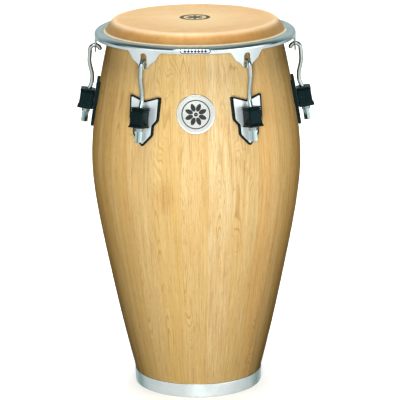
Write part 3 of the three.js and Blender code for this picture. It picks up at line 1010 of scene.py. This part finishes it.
def make_gasket():
    """A rubber sheet from the shell's curve to the plate, with a border round the plate."""
    outline = eased(mirrored(GASKET_OUTLINE), 4.2)
    seat = [Vector((p.x * 1.012, p.y * 1.012)) for p in eased(mirrored(PLATE_OUTLINE), 3.0)]
    gap = 0.1

    def on_wood(points, off=gap):
        return [(x, shell_depth(x, y, off), y) for x, y in points]

    rings = []
    for scale in (0.12, 0.35, 0.6, 0.8, 0.93):
        rings.append(on_wood([(p.x * scale, p.y * scale) for p in outline]))
    rings.append(on_wood(inset(outline, 0.25)))
    rings.append(on_wood(outline, 0.45))
    for shrink, out in ((0.0, -1.2), (0.15, -0.65), (0.5, -0.3), (1.0, -0.2)):
        rings.append([(p.x, out, p.y) for p in inset(outline, shrink)])
    for out in (-0.2, -2.6):
        rings.append([(p.x, out, p.y) for p in seat])
    rings = [[lug_point(*p) for p in ring] for ring in rings]
    verts, faces = flat(rings), bridge(rings, False)
    size = len(outline)
    hub = len(verts)
    verts.append(lug_point(0, shell_depth(0, 0, gap), 0))
    faces += [(hub, k, (k + 1) % size) for k in range(size)]
    faces.append(end_caps(rings)[1])
    return build("gasket_rubber", verts, faces, [RUBBER], 40, weighted=True)


# The cover's outside: (up, half its width, and how far out its inner and outer faces are)
SLEEVE_LEVELS = (
    (-20.1, 14.2, 0.8, 29.4),
    (-19.9, 14.6, 0.4, 29.8),
    (-19.4, 14.8, 0.2, 30.0),
    (-17.9, 14.8, 0.2, 30.0),
    (-17.4, 14.6, 0.4, 29.8),
    (-17.1, 14.1, 0.4, 29.2),
    (-16.6, 13.6, 0.4, 28.6),
    (-14.5, 13.25, 0.4, 28.0),
    (-10.0, 13.0, 0.4, 27.6),
    (0.0, 12.9, 0.4, 27.4),
    (9.0, 12.9, 0.4, 27.4),
    (9.6, 12.5, 0.5, 27.0),
    (9.9, 11.6, 1.0, 26.0),
    (10.7, 11.6, 1.0, 26.0),
    (11.0, 14.0, 0.6, 27.4),
    (11.4, 14.7, 0.4, 28.0),
    (12.3, 14.7, 0.4, 28.0),
    (12.8, 14.0, 0.6, 27.4),
    (13.0, 11.6, 1.0, 26.0),
    (14.3, 11.6, 1.0, 26.0),
    (14.6, 13.8, 0.6, 26.8),
    (15.0, 14.6, 0.4, 27.6),
    (15.9, 14.6, 0.4, 27.6),
    (16.5, 14.0, 0.8, 27.0),
    (16.8, 13.0, 1.6, 25.8),
)


def make_sleeve():
    """The moulded cover round the receiver: a rounded block with two lips and a skirt."""
    per_corner = 7
    corner = 3.2
    rings = []
    for level, half, inner, outer in SLEEVE_LEVELS:
        ring = []
        for turn, u, n in ((0, half, outer), (90, -half, outer), (180, -half, inner), (270, half, inner)):
            cu = u - math.copysign(corner, u)
            cn = n - corner if n == outer else n + corner
            for k in range(per_corner + 1):
                a = math.radians(turn + 90 * k / per_corner)
                ring.append(lug_point(cu + corner * math.cos(a), cn + corner * math.sin(a), level))
        rings.append(ring)
    count = 4 * (per_corner + 1)

    def circle(radius, level):
        """A round with as many points as a block's ring, in the same four groups."""
        ring = []
        for k in range(count):
            quarter, step = divmod(k, per_corner + 1)
            a = math.radians(90 * quarter + 8 + (90 - 16) * step / per_corner)
            ring.append(lug_point(radius * math.cos(a), AXIS_OFF + radius * math.sin(a), level))
        return ring

    bore = [(6.6, 16.8), (5.9, 16.5), (5.6, 16.0), (5.6, 13.9)]
    bore += [(7.9, 13.9), (7.9, -19.8), (8.2, -20.1)]
    rings += [circle(radius, level) for radius, level in bore]
    return build("sleeve_rubber", flat(rings), bridge(rings, True), [RUBBER], 50, weighted=True)


def in_sixth(angle):
    """The angle from the middle of a hexagon's nearest face."""
    return (angle + math.pi / 6) % (math.pi / 3) - math.pi / 6


def hex_round(radius, angle):
    """A hexagon's radius at an angle with hollow-ground faces, cut to the round at its corners."""
    half_across, hollow = 6.5, 0.4
    turned = in_sixth(angle)
    return min(half_across / math.cos(turned) - hollow * math.cos(3 * turned) ** 2, radius)


def make_nut():
    """A long hexagon nut with a flange at its top."""
    flange = [(4.6, -24.3), (4.9, -24.1), (7.6, -24.1), (8.0, -24.5), (8.0, -26.2)]
    flange += [(7.7, -26.8), (7.55, -27.4)]
    rings = lug_rings(flange)
    body = [(7.6, -27.6), (7.6, -45.4), (7.2, -46.6), (6.6, -47.3), (5.8, -47.6)]
    rings += lug_rings(body, shape=hex_round)
    rings += lug_rings([(4.9, -47.6), (4.6, -47.2)])
    return build("nut_chrome_painted_shade", flat(rings), bridge(rings, True), [NUT_CHROME_PAINTED_SHADE], 22, weighted=True)


def make_washer():
    section = [(4.7, -22.2), (4.9, -21.9), (8.2, -21.9), (8.5, -22.2)]
    section += [(8.5, -23.5), (8.2, -23.8), (4.9, -23.8), (4.7, -23.5)]
    rings = lug_rings(section)
    return build("washer_zinc", flat(rings), bridge(rings, True), [ZINC], 40)


def make_screw(level, name):
    """A pan-head screw put in from inside the shell, with a hexagon socket in its head."""
    section = [(2.5, -1.6), (2.5, -18.8), (5.2, -18.8), (5.5, -19.2), (5.3, -20.3)]
    section += [(4.4, -21.2), (3.0, -21.6)]
    socket = [(2.1, -21.65), (2.1, -19.9)]

    def hexagon(radius, angle):
        return radius / math.cos(in_sixth(angle)) * math.cos(math.pi / 6)

    rings = []
    for radius, out in section + socket:
        ring = []
        for a in turn_angles(36):
            r = hexagon(radius, a) if (radius, out) in socket else radius
            ring.append(lug_point(r * math.sin(a), out, level + r * math.cos(a)))
        rings.append(ring)
    return build(name, flat(rings), bridge(rings, False) + end_caps(rings), [ZINC], 35)


# The rod's (radius, height) from the hook's bend down to the cover
ROD_SWAY = (
    (199.5, 641),
    (199.9, 630),
    (198.2, 619),
    (195.9, 609.5),
    (195.2, 600),
    (196.4, 591),
    (199.0, 583.5),
    (201.6, 577.8),
)


def make_hook():
    """A rod bent over the bar under the ear's slot, swept out, straight from the cover down."""
    bend = arc((188.9, 652), 9.6, 165, 0, 26)
    sway = catmull([*bend[-2:], *ROD_SWAY, axis_point(11.7), axis_point(4)], 6)[6:]
    line = [Vector(p) for p in bend[:-1]] + sway
    line += [Vector(axis_point(v)) for v in (-6, -16, -26, -36, -41.2)]
    radius = 4.0
    stations = []
    for i, spot in enumerate(line):
        along = (line[min(i + 1, len(line) - 1)] - line[max(i - 1, 0)]).normalized()
        stations.append((spot, along, radius))
    spot, along, _ = stations[0]
    tip = []
    for turn in (80, 62, 44, 26, 10):
        a = math.radians(turn)
        tip.append((spot - along * radius * 0.8 * math.sin(a), along, radius * math.cos(a)))
    end = line[-1] + stations[-1][1] * 0.8
    stations = tip + stations + [(end, stations[-1][1], radius - 0.9)]
    rings = []
    for spot, along, r in stations:
        side = Vector((along.y, -along.x))
        ring = []
        for a in turn_angles(24):
            out = spot + side * r * math.cos(a)
            ring.append((r * math.sin(a), -out.x, out.y))
        rings.append(ring)
    return build("hook_chrome_painted_shade", flat(rings), bridge(rings, False) + end_caps(rings), [HOOK_CHROME_PAINTED_SHADE], 45)


# ---- Stage -----------------------------------------------------------------------------


def make_floor():
    s = Shader("pale_floor")
    tooth = s.noise(s.place, 3.0, 3.0, 0.5)
    tone = s.mix(s.span(tooth, 0.3, 0.7), rgb(0.93, 0.93, 0.93), rgb(0.95, 0.95, 0.95))
    s.finish(Base_Color=tone, Roughness=0.7)
    mesh = bpy.data.meshes.new("floor")
    half = 30.0
    corners = [(-half, -half, 0), (half, -half, 0), (half, half, 0), (-half, half, 0)]
    mesh.from_pydata(corners, [], [(0, 1, 2, 3)])
    mesh.materials.append(s.owner)
    floor = bpy.data.objects.new("floor", mesh)
    bpy.context.scene.collection.objects.link(floor)
    floor.visible_diffuse = False
    floor.visible_glossy = False


# Studio lights: azimuth from the front (degrees, towards +X), elevation, distance, size, target
# height, power and colour
LIGHTS = {
    "key": (-2, 14, 6.0, (1.7, 1.7), 0.40, 190, (1.0, 0.99, 0.97)),
    "near": (0, 3, 1.3, (0.4, 0.4), 0.32, 12.6, (1.0, 0.99, 0.97)),
    "left": (-68, 0, 0.58, (0.22, 0.22), 0.43, 0.50, (1.0, 0.88, 0.62)),
    "right": (62, 0, 0.58, (0.22, 0.22), 0.43, 0.62, (1.0, 0.88, 0.62)),
}
OVERHEAD_POWER = 3.2
BACKDROP_POWER = 110


def add_light(name, place, target, size, power, color=(1, 1, 1)):
    lamp = bpy.data.lights.new(name, "AREA")
    lamp.shape = "RECTANGLE"
    lamp.size, lamp.size_y = size
    lamp.energy = power
    lamp.color = color
    obj = bpy.data.objects.new(name, lamp)
    obj.location = place
    obj.rotation_euler = (Vector(target) - Vector(place)).to_track_quat("-Z", "Y").to_euler()
    obj.visible_glossy = False
    bpy.context.scene.collection.objects.link(obj)


def make_sky():
    """What the metal mirrors: a pale floor, a pale room in front, grey behind, a dark ceiling,
    a bright panel on the right, a dim one on the left and a softbox up in front."""
    world = bpy.data.worlds.new("studio")
    s = Nodes(world)
    look = s.node("ShaderNodeTexCoord").outputs["Generated"]
    x, y, z = s.split(look)
    front = s.span(y, -0.30, -0.85)
    floor = s.times(s.span(z, -0.04, -0.16), s.span(y, 0.80, -0.60, 0.62, 0.92))
    aside = s.math("ABSOLUTE", x)
    corner = s.span(s.math("ABSOLUTE", s.minus(aside, 0.68)), 0.26, 0.05)
    corner = s.times(corner, s.span(y, 0.30, 0.60))
    floor = s.times(floor, s.minus(1.0, s.times(corner, 0.45)))
    glow = s.times(s.span(z, -0.04, -0.16), s.times(front, 0.40))
    glow = s.times(s.span(aside, 0.42, 0.05), glow)
    room = s.times(s.times(front, s.span(z, 0.44, 0.28)), s.span(z, -0.16, -0.04))
    behind = s.times(s.span(y, 0.20, 0.80), s.span(z, -0.16, -0.04, 0.0, 0.48))
    sky = s.plus(s.span(z, 0.02, 0.24, 0.0, 0.10), s.span(z, 0.84, 0.95, 0.0, 0.30))
    window = s.times(front, s.span(z, -0.04, -0.16, 0.0, 0.32))
    window = s.times(s.span(x, 0.10, 0.50), window)
    level_band = s.span(s.math("ABSOLUTE", s.minus(z, 0.10)), 0.30, 0.14)
    right = s.times(s.span(x, 0.50, 0.80), s.times(level_band, 1.60))
    left = s.times(s.span(x, -0.50, -0.80), s.times(level_band, 0.60))
    away = s.span(y, 0.15, -0.25)
    panels = s.times(s.plus(right, left), away)
    toward_box = {0: look, 1: (-0.06, -0.82, 0.57)}
    box = s.node("ShaderNodeVectorMath", toward_box, operation="DOT_PRODUCT").outputs["Value"]
    softbox = s.span(box, 0.940, 0.965, 0.0, 3.6)
    level = 0.05
    for part in (floor, glow, window, s.times(room, 1.15), behind, sky, panels, softbox):
        level = s.plus(part, level)
    cast = s.mix(s.span(level, 0.25, 0.90), rgb(0.70, 1.0, 0.98), rgb(0.95, 1.0, 0.99))
    tint = s.mix(1.0, cast, s.xyz(level, level, level), "MULTIPLY")
    s.feed(s.tree.nodes["Background"].inputs[0], tint)
    world.cycles_visibility.diffuse = False
    bpy.context.scene.world = world


def make_lights():
    for name, (azimuth, elevation, distance, size, height, power, color) in LIGHTS.items():
        a, e = math.radians(azimuth), math.radians(elevation)
        along = Vector((math.sin(a) * math.cos(e), -math.cos(a) * math.cos(e), math.sin(e)))
        target = Vector((0, 0, height))
        add_light(name, target + along * distance, target, size, power, color)
    add_light("backdrop", (0, 2.6, 3.0), (0, 2.9, 0), (3.4, 3.0), BACKDROP_POWER)
    lamp = bpy.data.lights.new("overhead", "SUN")
    lamp.energy = OVERHEAD_POWER
    lamp.angle = math.radians(50)
    obj = bpy.data.objects.new("overhead", lamp)
    obj.visible_glossy = False
    bpy.context.scene.collection.objects.link(obj)


def make_camera():
    """The photograph's viewing angle: a long lens, from the front and a little above."""
    pitch, yaw, roll = math.radians(14.607), math.radians(0.078), math.radians(-0.553)
    forward = Vector((math.sin(yaw) * math.cos(pitch), math.cos(yaw) * math.cos(pitch), -math.sin(pitch)))
    right = Vector((math.cos(yaw), -math.sin(yaw), 0))
    up = right.cross(forward)
    level = right * math.cos(roll) + up * math.sin(roll)
    plumb = up * math.cos(roll) - right * math.sin(roll)
    camera = bpy.data.objects.new("camera", bpy.data.cameras.new("camera"))
    camera.data.sensor_width = 36
    camera.data.lens = 224.14
    camera.data.clip_end = 100
    place = Matrix((level, plumb, -forward)).transposed().to_4x4()
    place.translation = (0, -4.619, 1.561)
    camera.matrix_world = place
    bpy.context.scene.collection.objects.link(camera)
    bpy.context.scene.camera = camera


make_shell()
make_bottom_ring()
make_head()
make_rim()
make_badge()
make_badge_emblem()
make_rim_mark()
six(make_plate(), "shell", ["side_plate"])
six(make_gasket(), "shell", ["plate_gasket"])
six(make_sleeve(), "shell", ["lug_sleeve"])
six(make_washer(), "shell", ["nut_washer"])
six(make_screw(8, "screw_upper"), "shell", ["plate_screw_upper"])
six(make_screw(-36, "screw_lower"), "shell", ["plate_screw_lower"])
six(make_nut(), "tuning_nut", ["tuning_nut"], number_body=True)
six(make_hook(), "tuning_hook", ["tuning_hook"], number_body=True)
make_floor()
make_sky()
make_lights()
make_camera()
bpy.context.scene.view_settings.view_transform = "Standard"
bpy.context.scene.view_settings.gamma = 0.85
